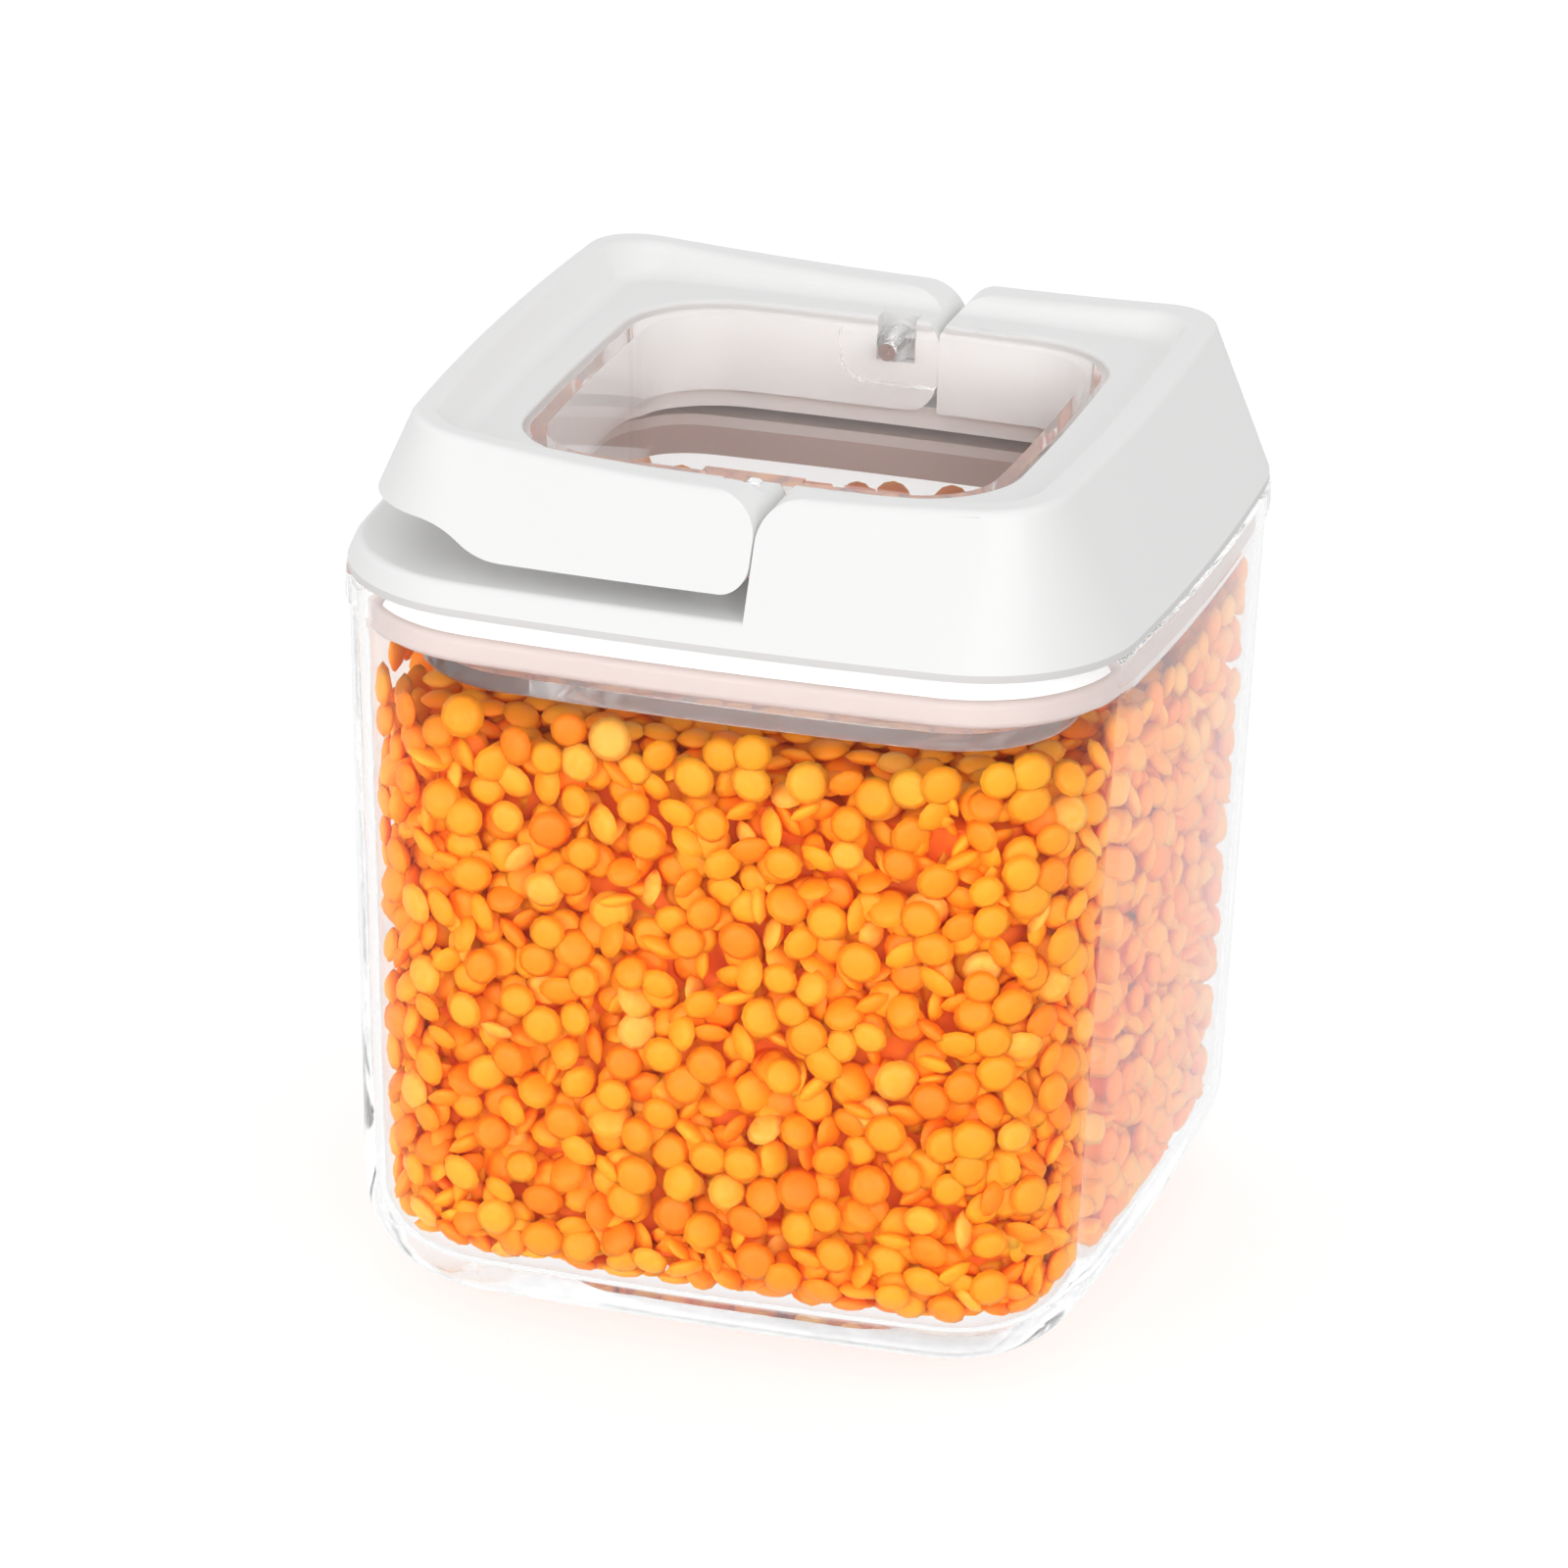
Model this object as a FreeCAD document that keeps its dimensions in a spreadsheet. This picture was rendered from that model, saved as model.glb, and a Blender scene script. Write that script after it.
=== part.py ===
import FreeCAD, Part
import math
import os

import Sketcher

# Square clear canister for dry food with a white lid. Half of the lid is a flip lever that turns on
# two pins and, by its cams, draws a clear tray up against a soft seal. Millimetres, +Z up, origin
# at the middle of the base.

SIZES = {
    # container
    "container_height": 97.2,
    "rim_half": 52.5,
    "rim_corner": 21.5,
    "side_bow": 520.0,
    "rim_band": 3.6,
    "rim_flare": 0.6,
    "rim_flare_height": 1.8,
    "draft": 3.6,
    "corner_draft": 3.5,
    "wall": 2.5,
    "rim_wall": 2.7,
    "floor_thickness": 5.0,
    "base_round": 14.5,
    "floor_round": 9.0,
    "rim_round": 0.8,
    "foot_width": 8.4,
    "recess_corner": 10.0,
    "recess_depth": 0.8,
    # outer form shared by the lid cover and the lever
    "carrier_flange": 1.0,
    "lid_inset": 0.3,
    "lid_slope": 9.7,
    "lid_corner_fall": 14.2,
    "crest_height": 18.6,
    "saddle_rise": 2.9,
    "form_margin": 1.5,
    "dish_depth": 2.3,
    "crest_band": 4.1,
    "dish_corner": 5.5,
    "dish_bank": 10.0,
    "dish_bank_run": 5.0,
    "frame_width": 5.6,
    "window_corner": 13.5,
    "dish_round": 2.2,
    "window_round": 0.6,
    "shell": 2.2,
    # base ring of the lid cover
    "shelf_thickness": 3.0,
    "cover_clearance": 0.6,
    "shelf_round": 1.2,
    "end_wall": 2.0,
    # split between the lever and the fixed half
    "split_place": 6.3,
    "split_gap": 0.25,
    "pivot_place": 0.6,
    # lever
    "inner_wall": 1.6,
    "inner_corner": 4.0,
    "apron_height": 6.9,
    "apron_corner": 3.5,
    "lift_height": 10.5,
    "lift_reach": 14.2,
    "lift_run": 12.0,
    # hinges and cams
    "pin_radius": 1.2,
    "pin_press": 0.02,
    "pin_running": 0.05,
    "boss_radius": 2.3,
    "boss_reach": 2.3,
    "notch_gap": 0.3,
    "cam_round": 3.95,
    "cam_offset": 0.75,
    "cam_width": 4.6,
    "cam_gap": 0.3,
    "pedestal_back": 4.0,
    "pedestal_front": 0.4,
    # tray with its pan
    "tray_gap": 0.9,
    "tray_taper": 1.0,
    "tray_wall": 2.0,
    "tray_below": 0.8,
    "tray_floor": 2.0,
    "tray_round": 5.0,
    "pan_depth": 12.8,
    "pan_inset": 5.6,
    "pan_corner_fall": 2.5,
    "pan_lip": 2.0,
    "pan_round": 1.2,
    "lug_half_width": 6.5,
    "lug_depth": 6.8,
    "lug_bulge": 1.7,
    "lug_round": 4.0,
    # seal and its carrier
    "seal_depth": 7.4,
    "seal_height": 4.0,
    "seal_gap": 0.3,
    "seal_width": 10.4,
    "seal_corner_fall": 5.5,
    "seal_edge": 1.2,
    "skirt_gap": 0.9,
    "skirt_wall": 2.0,
    "carrier_plate": 1.5,
    # reach of cuts past the solid
    "overrun": 30.0,
}

# Radius of the crest's rounded edges, as a share of the crest's band
CREST_ROUND_SHARE = 0.29

# Two places closer than this are the same place
TOUCH = 1e-5

doc = FreeCAD.newDocument("DryFoodContainer")
sheet = doc.addObject("Spreadsheet::Sheet", "Sizes")
for row, (name, size) in enumerate(SIZES.items(), start=1):
    sheet.set(f"A{row}", name)
    sheet.set(f"B{row}", str(size))
    sheet.setAlias(f"B{row}", name)
doc.recompute()


def cell(name):
    return f"Sizes.{name}"


def value(expression):
    return float(sheet.evalExpression(expression))


# Places that several pieces share, worked out from the sizes
RIM = cell("container_height")
BASE_HALF = "(Sizes.rim_half - Sizes.draft)"
BASE_CORNER = "(Sizes.rim_corner - Sizes.corner_draft)"
COVER_BOTTOM = f"({RIM} + Sizes.carrier_flange)"
SHELF_TOP = f"({COVER_BOTTOM} + Sizes.shelf_thickness)"
LID_HALF = "(Sizes.rim_half - Sizes.lid_inset)"
LID_CORNER = "(Sizes.rim_corner - Sizes.lid_inset)"
LID_TOP_HALF = f"({LID_HALF} - Sizes.lid_slope)"
LID_TOP_CORNER = f"({LID_CORNER} - Sizes.lid_corner_fall)"
DISH_HALF = f"({LID_TOP_HALF} - Sizes.crest_band)"
WINDOW_HALF = f"({DISH_HALF} - Sizes.frame_width)"
WINDOW_CORNER = cell("window_corner")
WALL_HALF = f"({WINDOW_HALF} + Sizes.inner_wall)"
WALL_CORNER = f"({WINDOW_CORNER} + Sizes.inner_wall)"
COVER_OPENING_HALF = f"({WALL_HALF} + Sizes.cover_clearance)"
COVER_OPENING_CORNER = f"({WALL_CORNER} + Sizes.cover_clearance)"
CREST = f"({RIM} + Sizes.crest_height)"
SADDLE_RUN = f"({LID_TOP_HALF} + Sizes.split_place)"
SADDLE_RADIUS = f"(({SADDLE_RUN} * {SADDLE_RUN} / Sizes.saddle_rise + Sizes.saddle_rise) / 2)"
FORM_TOP = f"({CREST} + Sizes.saddle_rise + Sizes.form_margin)"
FORM_HEIGHT = f"({FORM_TOP} - {COVER_BOTTOM})"
DISH_FLOOR = f"({CREST} - Sizes.dish_depth)"
HOLLOW_TOP = f"({DISH_FLOOR} - Sizes.shell)"
LEVER_END = "(Sizes.split_place - Sizes.split_gap)"
PIVOT_X = cell("pivot_place")
SPLIT_ROUND = f"({LEVER_END} - {PIVOT_X})"
PIVOT_Z = f"({CREST} - {SPLIT_ROUND})"
CAM_X = f"({PIVOT_X} - Sizes.cam_offset)"
CAM_Z = f"({PIVOT_Z} - Sizes.cam_offset)"
APRON_BOTTOM = f"({RIM} + Sizes.apron_height)"
LIFT_BOTTOM = f"({RIM} + Sizes.lift_height)"
BOSS_END = f"({WINDOW_HALF} + Sizes.boss_reach)"
CAM_START = f"({BOSS_END} + Sizes.notch_gap)"
CAM_END = f"({CAM_START} + Sizes.cam_width)"
TRAY_HALF = f"({WINDOW_HALF} - Sizes.tray_gap)"
TRAY_CORNER = f"({WINDOW_CORNER} - Sizes.tray_gap)"
TRAY_RIM = f"({DISH_FLOOR} - Sizes.tray_below)"
TRAY_BASE_HALF = f"({TRAY_HALF} - Sizes.tray_taper)"
PAN_BOTTOM = f"({RIM} - Sizes.pan_depth)"
TRAY_FLOOR = f"({PAN_BOTTOM} + Sizes.tray_floor)"
LUG_FACE = f"({TRAY_HALF} - Sizes.tray_wall - Sizes.lug_bulge)"
SEAL_BOTTOM = f"({RIM} - Sizes.seal_depth)"
SEAL_TOP = f"({SEAL_BOTTOM} + Sizes.seal_height)"
INNER_TOP_HALF = "(Sizes.rim_half - Sizes.rim_wall)"
INNER_BASE_HALF = f"({BASE_HALF} - Sizes.wall)"
INNER_DRAFT = f"(({INNER_TOP_HALF} - {INNER_BASE_HALF}) / ({RIM} - Sizes.floor_thickness))"
SEAL_HALF = f"({INNER_TOP_HALF} - {INNER_DRAFT} * Sizes.seal_depth - Sizes.seal_gap)"
SEAL_CORNER = "(Sizes.rim_corner - Sizes.rim_wall - Sizes.seal_gap)"
SKIRT_HALF = f"({INNER_TOP_HALF} - Sizes.skirt_gap)"
RING_OPENING_HALF = f"({SKIRT_HALF} - Sizes.seal_width)"
RING_OPENING_CORNER = f"({SEAL_CORNER} - Sizes.seal_corner_fall)"
PAN_HALF = f"({SEAL_HALF} - Sizes.pan_inset)"
PAN_CORNER = f"({SEAL_CORNER} - Sizes.pan_corner_fall)"


def form_half(height):
    """Half width of the lid's outer form at a height."""
    fall = f"(Sizes.lid_slope / {FORM_HEIGHT})"
    return f"({LID_HALF} - {fall} * ({height} - {COVER_BOTTOM}))"


def form_corner(height):
    """Corner radius of the lid's outer form at a height."""
    fall = f"(Sizes.lid_corner_fall / {FORM_HEIGHT})"
    return f"({LID_CORNER} - {fall} * ({height} - {COVER_BOTTOM}))"


def new_body(label):
    body = doc.addObject("PartDesign::Body", label)
    body.Label = label
    return body


def new_sketch(body, name, plane, offset):
    """Sketch on one of the body's own planes, moved along the plane's normal."""
    sketch = body.newObject("Sketcher::SketchObject", name)
    support = next(item for item in body.Origin.OriginFeatures if item.Role == plane)
    sketch.AttachmentSupport = [(support, "")]
    sketch.MapMode = "FlatFace"
    sketch.setExpression("AttachmentOffset.Base.z", offset)
    return sketch


def bind(sketch, parts, expression):
    """Add a dimension and tie it to the sheet."""
    index = sketch.addConstraint(Sketcher.Constraint(*parts, value(expression)))
    sketch.setExpression(f"Constraints[{index}]", expression)


def soft_square(sketch, half, corner):
    """Square with round corners and slightly bowed sides, about the origin."""
    bow = cell("side_bow")
    bow_now = value(bow)
    corner_now = value(corner)
    centre_away = bow_now - value(half)
    span = bow_now - corner_now
    middle = (math.sqrt(2 * span**2 - centre_away**2) - centre_away) / 2
    swing = math.atan2(middle, middle + centre_away)
    up = FreeCAD.Vector(0, 0, 1)
    sides = []
    corners = []
    for quarter in range(4):
        turn = quarter * math.pi / 2
        away = FreeCAD.Vector(-centre_away * math.cos(turn), -centre_away * math.sin(turn), 0)
        side = Part.ArcOfCircle(Part.Circle(away, up, bow_now), turn - swing, turn + swing)
        sides.append(sketch.addGeometry(side, False))
        lean = turn + math.pi / 4
        place = FreeCAD.Vector(math.cos(lean), math.sin(lean), 0) * (middle * math.sqrt(2))
        bend = Part.ArcOfCircle(Part.Circle(place, up, corner_now), turn + swing, turn + math.pi / 2 - swing)
        corners.append(sketch.addGeometry(bend, False))
    for quarter in range(4):
        following = sides[(quarter + 1) % 4]
        sketch.addConstraint(Sketcher.Constraint("Tangent", sides[quarter], 2, corners[quarter], 1))
        sketch.addConstraint(Sketcher.Constraint("Tangent", corners[quarter], 2, following, 1))
        axis = -1 if quarter % 2 == 0 else -2
        sketch.addConstraint(Sketcher.Constraint("PointOnObject", sides[quarter], 3, axis))
        if quarter:
            sketch.addConstraint(Sketcher.Constraint("Equal", sides[0], sides[quarter]))
            sketch.addConstraint(Sketcher.Constraint("Equal", corners[0], corners[quarter]))
    bind(sketch, ("Radius", sides[0]), bow)
    bind(sketch, ("Radius", corners[0]), corner)
    away_by = f"{bow} - ({half})"
    bind(sketch, ("DistanceX", sides[0], 3, -1, 1), away_by)
    bind(sketch, ("DistanceY", sides[1], 3, -1, 1), away_by)
    bind(sketch, ("DistanceX", -1, 1, sides[2], 3), away_by)
    bind(sketch, ("DistanceY", -1, 1, sides[3], 3), away_by)


def outline(sketch, corners):
    """Closed outline. Each corner is x, y and the edge that leaves it: None for a line, or a radius
    and the side to which an arc turns, 1 to the left and -1 to the right."""
    points = [FreeCAD.Vector(value(x), value(y), 0) for x, y, edge in corners]
    edges = []
    for index, (x, y, edge) in enumerate(corners):
        start = points[index]
        stop = points[(index + 1) % len(points)]
        if edge is None:
            edges.append((sketch.addGeometry(Part.LineSegment(start, stop), False), 1, 2))
            continue
        radius, side = edge
        radius_now = value(radius)
        chord = stop - start
        rise = math.sqrt(max(radius_now**2 - chord.Length**2 / 4, 0))
        across = FreeCAD.Vector(-chord.y, chord.x, 0).normalize() * side
        centre = (start + stop) / 2 + across * rise
        first, last = (start, stop) if side > 0 else (stop, start)
        first_angle = math.atan2(first.y - centre.y, first.x - centre.x)
        last_angle = math.atan2(last.y - centre.y, last.x - centre.x)
        circle = Part.Circle(centre, FreeCAD.Vector(0, 0, 1), radius_now)
        arc = sketch.addGeometry(Part.ArcOfCircle(circle, first_angle, last_angle), False)
        edges.append((arc, 1, 2) if side > 0 else (arc, 2, 1))
        bind(sketch, ("Radius", arc), radius)
    for index, (x, y, edge) in enumerate(corners):
        geometry, begin, end = edges[index]
        before, before_begin, before_end = edges[index - 1]
        sketch.addConstraint(Sketcher.Constraint("Coincident", before, before_end, geometry, begin))
        for kind, axis, expression in (("DistanceX", -2, x), ("DistanceY", -1, y)):
            size = value(expression)
            if size == 0:
                sketch.addConstraint(Sketcher.Constraint("PointOnObject", geometry, begin, axis))
            elif size > 0:
                bind(sketch, (kind, -1, 1, geometry, begin), expression)
            else:
                bind(sketch, (kind, geometry, begin, -1, 1), f"-({expression})")


def rectangle(sketch, left, bottom, right, top):
    outline(sketch, [(left, bottom, None), (right, bottom, None), (right, top, None), (left, top, None)])


def square_section(body, name, height, half, corner):
    sketch = new_sketch(body, name, "XY_Plane", height)
    soft_square(sketch, half, corner)
    return sketch


def settle(feature):
    """Work the feature out at once, so that a failure names its own feature."""
    doc.recompute()
    if "Invalid" in feature.State or "Error" in feature.State or not feature.Shape.isValid():
        raise RuntimeError(f"{feature.Label} failed: {feature.State}")
    return feature


def extrude(body, kind, name, sketch, length, symmetric=False, backwards=False):
    """Pad or Pocket of a sketch; a pocket has to take something away."""
    before = body.Shape.Volume if kind == "Pocket" else None
    feature = body.newObject(f"PartDesign::{kind}", name)
    feature.Profile = sketch
    feature.SideType = "Symmetric" if symmetric else "One side"
    feature.Reversed = backwards
    feature.setExpression("Length", length)
    settle(feature)
    if before is not None and not body.Shape.Volume < before:
        raise RuntimeError(f"{name} cuts nothing")
    return feature


def loft(body, kind, name, sections):
    """Straight walls through sections given from the bottom up. The loft runs from the top down, so
    that its faces point outwards."""
    feature = body.newObject(f"PartDesign::{kind}Loft", name)
    feature.Profile = sections[-1]
    feature.Sections = sections[-2::-1]
    feature.Ruled = True
    return settle(feature)


def round_edges(body, name, radius, chosen):
    """Fillet the edges that the test chooses on the body as it stands."""
    tip = body.Tip
    names = [f"Edge{index}" for index, edge in enumerate(tip.Shape.Edges, start=1) if chosen(edge)]
    feature = body.newObject("PartDesign::Fillet", name)
    feature.Base = (tip, names)
    feature.setExpression("Radius", radius)
    return settle(feature)


def flat_at(height):
    """Test for edges that lie flat at a height."""
    level = value(height)
    return lambda edge: max(abs(vertex.Z - level) for vertex in edge.Vertexes) < TOUCH


def on_saddle(edge):
    """Test for edges that lie on the saddle which cuts the crest."""
    middle_x = value(cell("split_place"))
    middle_z = value(f"{CREST} + {SADDLE_RADIUS}")
    radius = value(SADDLE_RADIUS)
    return max(abs(math.hypot(vertex.X - middle_x, vertex.Z - middle_z) - radius)
               for vertex in edge.Vertexes) < TOUCH


def reach(edge):
    """How far the ends of an edge lie from the upright axis, as a half width."""
    return max(max(abs(vertex.X), abs(vertex.Y)) for vertex in edge.Vertexes)


# Container: moulded clear plastic, drawn in towards a thick floor, with a slight lip at the rim
container = new_body("container_body")
lip_bottom = f"({RIM} - Sizes.rim_band)"
flare_bottom = f"({lip_bottom} - Sizes.rim_flare_height)"
wall_top_half = "(Sizes.rim_half - Sizes.rim_flare)"
wall_top_corner = "(Sizes.rim_corner - Sizes.rim_flare)"
loft(container, "Additive", "container_outside", [
    square_section(container, "outside_base", "0", BASE_HALF, BASE_CORNER),
    square_section(container, "outside_wall_top", flare_bottom, wall_top_half, wall_top_corner),
])
loft(container, "Additive", "container_flare", [
    square_section(container, "flare_foot", flare_bottom, wall_top_half, wall_top_corner),
    square_section(container, "flare_head", lip_bottom, cell("rim_half"), cell("rim_corner")),
])
rim_line = square_section(container, "rim_line", lip_bottom, cell("rim_half"), cell("rim_corner"))
extrude(container, "Pad", "container_rim", rim_line, cell("rim_band"))
loft(container, "Subtractive", "container_inside", [
    square_section(container, "inside_floor", cell("floor_thickness"), INNER_BASE_HALF,
                   f"({BASE_CORNER} - Sizes.wall)"),
    square_section(container, "inside_rim", RIM, INNER_TOP_HALF, "(Sizes.rim_corner - Sizes.rim_wall)"),
])
round_edges(container, "container_floor_round", cell("floor_round"), flat_at(cell("floor_thickness")))
round_edges(container, "container_base_round", cell("base_round"), flat_at("0"))
recess_half = f"({BASE_HALF} - Sizes.base_round - Sizes.foot_width)"
recess = square_section(container, "foot_recess", "0", recess_half, cell("recess_corner"))
extrude(container, "Pocket", "container_foot", recess, cell("recess_depth"), backwards=True)
round_edges(container, "container_rim_round", cell("rim_round"), flat_at(RIM))


def lid_form(body, hollow_bottom):
    """The lid's outer form: sloped sides, a crest that dips at the split, a dished top and a window,
    hollow below down to the given height."""
    loft(body, "Additive", f"{body.Label}_sides", [
        square_section(body, f"{body.Label}_foot", COVER_BOTTOM, LID_HALF, LID_CORNER),
        square_section(body, f"{body.Label}_head", FORM_TOP, LID_TOP_HALF, LID_TOP_CORNER),
    ])
    saddle = new_sketch(body, f"{body.Label}_saddle_line", "XZ_Plane", "0")
    middle = saddle.addGeometry(Part.Circle(
        FreeCAD.Vector(value(cell("split_place")), value(f"{CREST} + {SADDLE_RADIUS}"), 0),
        FreeCAD.Vector(0, 0, 1), value(SADDLE_RADIUS)), False)
    bind(saddle, ("Radius", middle), SADDLE_RADIUS)
    bind(saddle, ("DistanceX", -1, 1, middle, 3), cell("split_place"))
    bind(saddle, ("DistanceY", -1, 1, middle, 3), f"{CREST} + {SADDLE_RADIUS}")
    extrude(body, "Pocket", f"{body.Label}_saddle", saddle, "4 * Sizes.rim_half", symmetric=True)
    loft(body, "Subtractive", f"{body.Label}_dish", [
        square_section(body, f"{body.Label}_dish_floor", DISH_FLOOR, DISH_HALF, cell("dish_corner")),
        square_section(body, f"{body.Label}_dish_bank", f"{DISH_FLOOR} + Sizes.dish_bank",
                       f"({DISH_HALF} + Sizes.dish_bank_run)", "(Sizes.dish_corner + Sizes.dish_bank_run)"),
    ])
    round_edges(body, f"{body.Label}_dish_round", cell("dish_round"), flat_at(DISH_FLOOR))
    round_edges(body, f"{body.Label}_crest_round", f"{CREST_ROUND_SHARE} * Sizes.crest_band", on_saddle)
    loft(body, "Subtractive", f"{body.Label}_hollow", [
        square_section(body, f"{body.Label}_hollow_foot", hollow_bottom,
                       f"{form_half(hollow_bottom)} - Sizes.shell",
                       f"{form_corner(hollow_bottom)} - Sizes.shell"),
        square_section(body, f"{body.Label}_hollow_head", HOLLOW_TOP,
                       f"{form_half(HOLLOW_TOP)} - Sizes.shell", f"{form_corner(HOLLOW_TOP)} - Sizes.shell"),
    ])
    window = square_section(body, f"{body.Label}_window_line", HOLLOW_TOP, WINDOW_HALF, WINDOW_CORNER)
    extrude(body, "Pocket", f"{body.Label}_window", window, cell("overrun"), backwards=True)
    on_floor = flat_at(DISH_FLOOR)
    round_edges(body, f"{body.Label}_window_round", cell("window_round"),
                lambda edge: on_floor(edge) and reach(edge) < value(WALL_HALF))


def window_wall(body, bottom):
    """Wall round the window, from the given height up into the dished top."""
    ring = new_sketch(body, f"{body.Label}_window_wall_line", "XY_Plane", bottom)
    soft_square(ring, WALL_HALF, WALL_CORNER)
    soft_square(ring, WINDOW_HALF, WINDOW_CORNER)
    extrude(body, "Pad", f"{body.Label}_window_wall", ring, f"{DISH_FLOOR} - Sizes.shell / 2 - ({bottom})")


# Lid cover: white moulding with a low ring all round and the fixed half of the lid on the right
cover = new_body("lid_cover")
lid_form(cover, SHELF_TOP)
opening = square_section(cover, "cover_opening_line", COVER_BOTTOM, COVER_OPENING_HALF, COVER_OPENING_CORNER)
extrude(cover, "Pocket", "cover_opening", opening, "Sizes.shelf_thickness + Sizes.shell", backwards=True)
window_wall(cover, SHELF_TOP)
far_left = "-(Sizes.rim_half + Sizes.overrun)"
far_top = f"({FORM_TOP} + Sizes.overrun)"
fixed_round_end = f"(Sizes.split_place + {SPLIT_ROUND})"
lever_room = new_sketch(cover, "cover_lever_room_line", "XZ_Plane", "0")
outline(lever_room, [
    (far_left, SHELF_TOP, None),
    (cell("split_place"), SHELF_TOP, None),
    (cell("split_place"), PIVOT_Z, (SPLIT_ROUND, -1)),
    (fixed_round_end, CREST, None),
    (fixed_round_end, far_top, None),
    (far_left, far_top, None),
])
extrude(cover, "Pocket", "cover_lever_room", lever_room, "4 * Sizes.rim_half", symmetric=True)
on_shelf = flat_at(SHELF_TOP)
round_edges(cover, "cover_shelf_round", cell("shelf_round"),
            lambda edge: on_shelf(edge) and reach(edge) > value(COVER_OPENING_HALF) + TOUCH
            and edge.CenterOfMass.x < value(cell("split_place")) - TOUCH)
end_wall = new_sketch(cover, "cover_end_wall_line", "YZ_Plane", cell("split_place"))
wall_low = f"({form_half(SHELF_TOP)} - Sizes.shell / 2)"
wall_high = f"({form_half(PIVOT_Z)} - Sizes.shell / 2)"
wall_inner = f"({WINDOW_HALF} + Sizes.inner_wall / 2)"
outline(end_wall, [(wall_inner, SHELF_TOP, None), (wall_low, SHELF_TOP, None),
                   (wall_high, PIVOT_Z, None), (wall_inner, PIVOT_Z, None)])
outline(end_wall, [(f"-{wall_inner}", SHELF_TOP, None), (f"-{wall_inner}", PIVOT_Z, None),
                   (f"-{wall_high}", PIVOT_Z, None), (f"-{wall_low}", SHELF_TOP, None)])
extrude(cover, "Pad", "cover_end_walls", end_wall, cell("end_wall"))
pedestal = new_sketch(cover, "cover_pedestal_line", "XY_Plane", SHELF_TOP)
pedestal_left = f"({PIVOT_X} - Sizes.pedestal_back)"
pedestal_right = f"({PIVOT_X} + Sizes.pedestal_front)"
rectangle(pedestal, pedestal_left, CAM_START, pedestal_right, CAM_END)
rectangle(pedestal, pedestal_left, f"-{CAM_END}", pedestal_right, f"-{CAM_START}")
extrude(cover, "Pad", "cover_pedestals", pedestal,
        f"{CAM_Z} - Sizes.cam_round - Sizes.cam_gap - {SHELF_TOP}")

# Flip lever: white moulding, the left half of the lid, with two hanging cams that the pins carry
lever = new_body("flip_lever")
lid_form(lever, COVER_BOTTOM)
far_right = "(Sizes.rim_half + Sizes.overrun)"
far_bottom = f"({COVER_BOTTOM} - Sizes.overrun)"
lift_start = f"-({LID_HALF} - Sizes.lift_reach)"
lift_end = f"({lift_start} + Sizes.lift_run)"
lift_middle = f"({lift_start} + Sizes.lift_run / 2)"
lift_half_way = f"({LIFT_BOTTOM} + {APRON_BOTTOM}) / 2"
lift_rise = "(Sizes.lift_height - Sizes.apron_height)"
lift_bend = f"((Sizes.lift_run * Sizes.lift_run + {lift_rise} * {lift_rise}) / (4 * {lift_rise}))"
apron = new_sketch(lever, "lever_apron_line", "XZ_Plane", "0")
outline(apron, [
    (far_left, LIFT_BOTTOM, None),
    (lift_start, LIFT_BOTTOM, (lift_bend, -1)),
    (lift_middle, lift_half_way, (lift_bend, 1)),
    (lift_end, APRON_BOTTOM, None),
    (f"{LEVER_END} - Sizes.apron_corner", APRON_BOTTOM, (cell("apron_corner"), 1)),
    (LEVER_END, f"{APRON_BOTTOM} + Sizes.apron_corner", None),
    (far_right, f"{APRON_BOTTOM} + Sizes.apron_corner", None),
    (far_right, far_bottom, None),
    (far_left, far_bottom, None),
])
extrude(lever, "Pocket", "lever_apron_edge", apron, "4 * Sizes.rim_half", symmetric=True)
window_wall(lever, SHELF_TOP)
split_side = new_sketch(lever, "lever_split_line", "XZ_Plane", "0")
outline(split_side, [
    (f"{LEVER_END} - Sizes.inner_corner", SHELF_TOP, (cell("inner_corner"), 1)),
    (LEVER_END, f"{SHELF_TOP} + Sizes.inner_corner", None),
    (LEVER_END, PIVOT_Z, (SPLIT_ROUND, 1)),
    (PIVOT_X, CREST, None),
    (PIVOT_X, far_top, None),
    (far_right, far_top, None),
    (far_right, far_bottom, None),
    (f"{LEVER_END} - Sizes.inner_corner", far_bottom, None),
])
extrude(lever, "Pocket", "lever_split", split_side, "4 * Sizes.rim_half", symmetric=True)
notch = new_sketch(lever, "lever_notch_line", "XY_Plane", f"{PIVOT_Z} - Sizes.boss_radius - Sizes.notch_gap")
notch_left = f"({PIVOT_X} - Sizes.boss_radius - Sizes.notch_gap)"
notch_right = f"({PIVOT_X} + Sizes.boss_radius + Sizes.notch_gap)"
notch_inner = TRAY_HALF
rectangle(notch, notch_left, notch_inner, notch_right, CAM_START)
rectangle(notch, notch_left, f"-{CAM_START}", notch_right, f"-{notch_inner}")
extrude(lever, "Pocket", "lever_notches", notch, cell("overrun"), backwards=True)
cam_left = f"({CAM_X} - Sizes.cam_round)"
cam_right = f"({CAM_X} + Sizes.cam_round)"
cam_bottom = f"({CAM_Z} - Sizes.cam_round)"
cam_top = f"({DISH_FLOOR} - Sizes.shell / 2)"
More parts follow.
